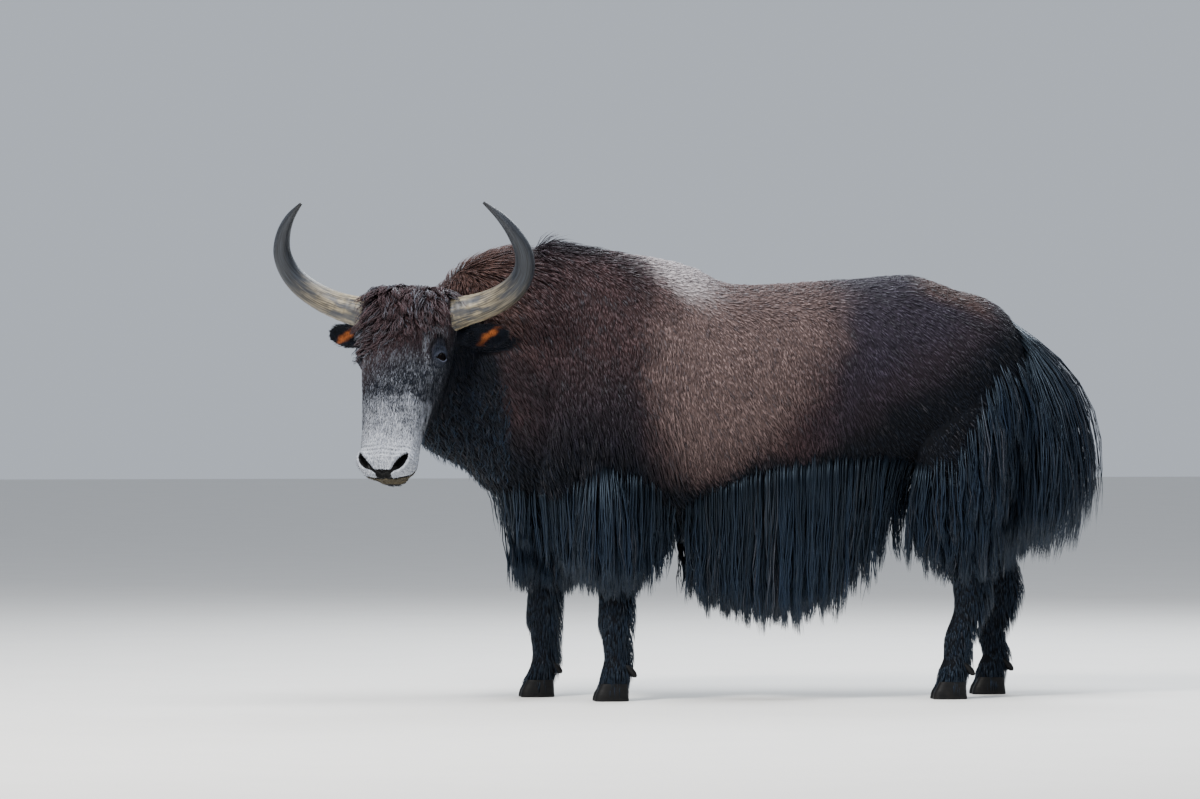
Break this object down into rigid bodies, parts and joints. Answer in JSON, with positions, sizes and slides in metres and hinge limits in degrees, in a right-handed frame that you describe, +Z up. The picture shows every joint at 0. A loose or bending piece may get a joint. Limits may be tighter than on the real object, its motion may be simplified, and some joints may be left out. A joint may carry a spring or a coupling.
{
  "type": "yak",
  "caption": "Still, life-size long-haired yak bull, standing square with its horned head turned to the left, a long skirt of hair along the belly and a full tail.",
  "frame": {"origin": "on the floor, under the middle of the animal's bounding box", "axes": "+X towards the tail, with the head at -X; +Y towards the animal's right side; +Z up"},
  "size_m": [2.9492, 0.9474, 1.7559],
  "materials": {
    "brown_hair": "dense dark brown coat, woolly over the ribs, with black tips",
    "black_hair": "long straight black hair with a cool sheen",
    "face_hair": "short grizzled hair, dark on the forehead and off-white at the muzzle",
    "horn": "smooth weathered horn, pale at the root and slate grey at the tip",
    "claw": "worn dark hoof horn",
    "eye": "wet dark brown eye"
  },
  "bodies": {
    "root": {"head": "face_hair", "ear_left": "black_hair", "ear_right": "black_hair", "horn_left": "horn", "horn_right": "horn", "eye_left": "eye", "eye_right": "eye", "neck": "brown_hair", "forequarters": "brown_hair", "brisket": "black_hair", "barrel": "brown_hair", "skirt_left": "black_hair", "skirt_right": "black_hair", "hindquarters": "black_hair", "tail": "black_hair", "foreleg_upper_left": "black_hair", "foreleg_upper_right": "black_hair", "foreleg_lower_left": "black_hair", "foreleg_lower_right": "black_hair", "hindleg_upper_left": "black_hair", "hindleg_upper_right": "black_hair", "hindleg_lower_left": "black_hair", "hindleg_lower_right": "black_hair", "claw_fore_left_inner": "claw", "claw_fore_left_outer": "claw", "claw_fore_right_inner": "claw", "claw_fore_right_outer": "claw", "claw_hind_left_inner": "claw", "claw_hind_left_outer": "claw", "claw_hind_right_inner": "claw", "claw_hind_right_outer": "claw", "dewclaw_fore_left_inner": "claw", "dewclaw_fore_left_outer": "claw", "dewclaw_fore_right_inner": "claw", "dewclaw_fore_right_outer": "claw", "dewclaw_hind_left_inner": "claw", "dewclaw_hind_left_outer": "claw", "dewclaw_hind_right_inner": "claw", "dewclaw_hind_right_outer": "claw"}
  },
  "joints": []
}
